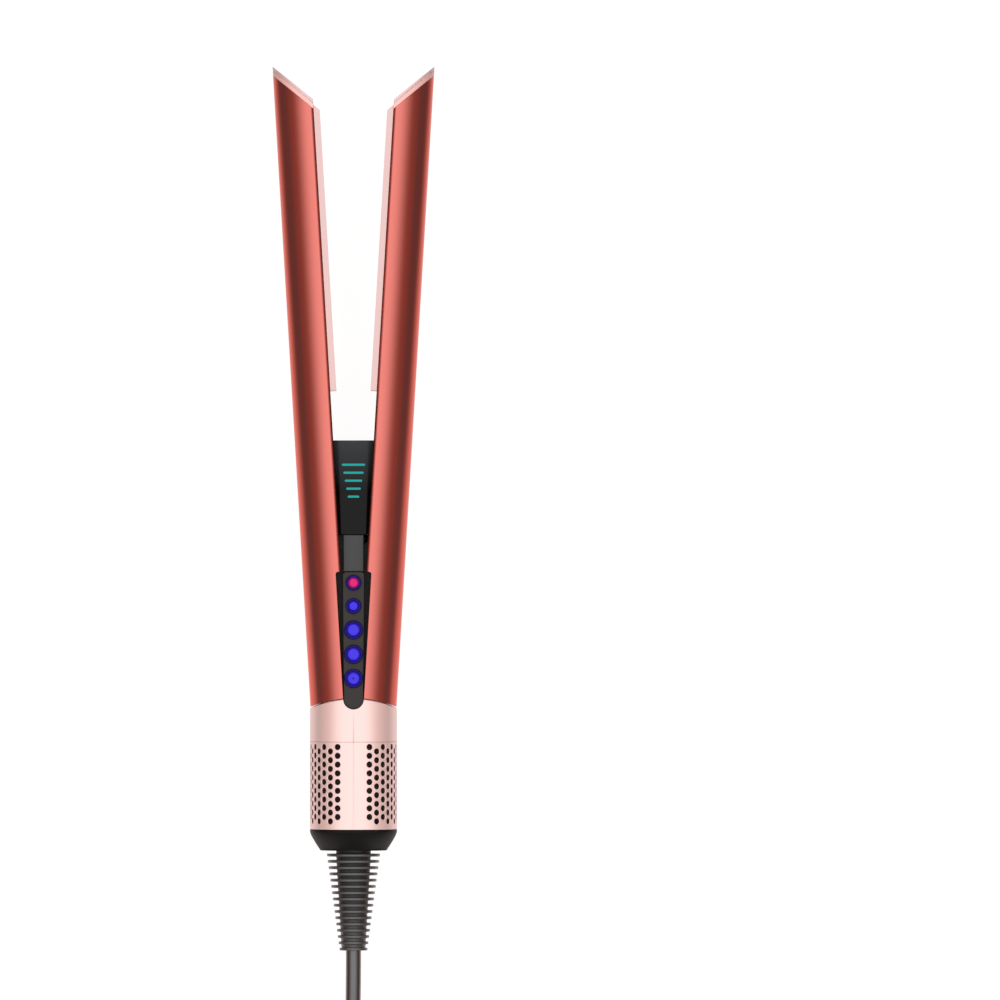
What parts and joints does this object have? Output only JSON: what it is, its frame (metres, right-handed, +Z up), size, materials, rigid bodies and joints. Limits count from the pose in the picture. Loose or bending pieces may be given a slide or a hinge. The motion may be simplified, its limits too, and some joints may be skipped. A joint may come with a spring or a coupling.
{
  "type": "flat iron",
  "caption": "Air-blowing hair straightener, open: half-oval coral arms on a shared hinge, slotted outlet plates, thumb guards, button tongue, perforated filter sleeve, cord and plug.",
  "frame": {"origin": "middle of the tool's footprint, on the table it lies on; the free cord is left out", "axes": "+Y along the tool towards the arm tips, +Z up out of the button side, +X across the arms"},
  "size_m": [0.0712, 0.6706, 0.067],
  "materials": {
    "coral_metal": "satin anodised coral",
    "blush_plastic": "matte blush pink",
    "blush_metal": "satin blush pink",
    "inner_plastic": "moulded inner plastic",
    "heater": "mica card with resistance strip",
    "steel": "turned steel",
    "grey_plastic": "satin dark grey",
    "circuit_board": "printed circuit board",
    "display_glass": "gloss black window",
    "black_plastic": "satin black",
    "blue_buttons": "gloss blue",
    "magenta_button": "gloss magenta",
    "motor_aluminium": "machined",
    "filter_mesh": "fine woven filter mesh",
    "black_rubber": "moulded rubber",
    "cord_jacket": "smooth cord jacket",
    "tie_fabric": "woven hook-and-loop strap",
    "brass": "plated blades"
  },
  "bodies": {
    "base": {"arm_spring": "steel", "base_frame": "inner_plastic", "button_board": "circuit_board", "collar": "blush_metal", "control_carrier": "grey_plastic", "control_panel": "grey_plastic", "cord": "cord_jacket", "cord_hank": "cord_jacket", "display_glass": "display_glass", "display_housing": "black_plastic", "filter_screen": "filter_mesh", "frame_screws": "steel", "hank_tie": "tie_fabric", "hinge_pin": "steel", "lock_track": "grey_plastic", "main_board": "circuit_board", "motor_housing": "motor_aluminium", "plug_blades": "brass", "plug_body": "black_rubber", "plug_lead": "cord_jacket", "strain_relief": "black_rubber"},
    "right_arm": {"right_arm_shell": "coral_metal", "right_outlet_plate": "blush_plastic", "right_tip_lid": "blush_plastic", "right_tip_rim": "blush_plastic", "right_hand_guard": "blush_plastic", "right_guard_inlay": "coral_metal", "right_air_duct": "inner_plastic", "right_inner_cover": "grey_plastic", "right_heater": "heater", "right_hinge_bracket": "steel"},
    "left_arm": {"left_arm_shell": "coral_metal", "left_outlet_plate": "blush_plastic", "left_tip_lid": "blush_plastic", "left_tip_rim": "blush_plastic", "left_hand_guard": "blush_plastic", "left_guard_inlay": "coral_metal", "left_air_duct": "inner_plastic", "left_inner_cover": "grey_plastic", "left_heater": "heater", "left_hinge_bracket": "steel"},
    "lock_slider": {"lock_slider": "blue_buttons"},
    "impeller": {"impeller": "motor_aluminium"},
    "filter_cage": {"filter_cage": "blush_metal", "end_cap": "black_plastic"},
    "mode_button": {"mode_button": "magenta_button"},
    "cool_button": {"cool_button": "blue_buttons"},
    "heat_button": {"heat_button": "blue_buttons"},
    "airflow_button": {"airflow_button": "blue_buttons"},
    "power_button": {"power_button": "blue_buttons"}
  },
  "joints": [
    {"name": "right_arm_hinge", "type": "hinge", "parent": "base", "child": "right_arm", "pos_m": [0, -0.0677, 0.02789], "axis": [0, -0.0685, 0.9977], "range_deg": [0, 3.4], "stiffness_Nm_per_rad": 2, "springref_deg": -2.86},
    {"name": "left_arm_hinge", "type": "hinge", "parent": "base", "child": "left_arm", "pos_m": [0, -0.0677, 0.02789], "axis": [0, -0.0685, 0.9977], "range_deg": [-3.4, 0], "stiffness_Nm_per_rad": 2, "springref_deg": 2.86},
    {"name": "mode_button_press", "type": "slide", "parent": "base", "child": "mode_button", "axis": [0, 0.0685, -0.9977], "range_m": [0, 0.0005], "stiffness_N_per_m": 1000},
    {"name": "cool_button_press", "type": "slide", "parent": "base", "child": "cool_button", "axis": [0, 0.0685, -0.9977], "range_m": [0, 0.0005], "stiffness_N_per_m": 1000},
    {"name": "heat_button_press", "type": "slide", "parent": "base", "child": "heat_button", "axis": [0, 0.0685, -0.9977], "range_m": [0, 0.0005], "stiffness_N_per_m": 1000},
    {"name": "airflow_button_press", "type": "slide", "parent": "base", "child": "airflow_button", "axis": [0, 0.0685, -0.9977], "range_m": [0, 0.0005], "stiffness_N_per_m": 1000},
    {"name": "power_button_press", "type": "slide", "parent": "base", "child": "power_button", "axis": [0, 0.0685, -0.9977], "range_m": [0, 0.0005], "stiffness_N_per_m": 1000},
    {"name": "lock_slide", "type": "slide", "parent": "base", "child": "lock_slider", "axis": [0, 0.9977, 0.0685], "range_m": [0, 0.004]},
    {"name": "cage_slide", "type": "slide", "parent": "base", "child": "filter_cage", "axis": [0, -0.9977, -0.0685], "range_m": [0, 0.036]},
    {"name": "impeller_spin", "type": "hinge", "parent": "base", "child": "impeller", "pos_m": [0, -0.11758, 0.02446], "axis": [0, 0.9977, 0.0685], "continuous": true}
  ],
  "couplings": [
    {"joint": "left_arm_hinge", "follows": "right_arm_hinge", "ratio": -1}
  ]
}
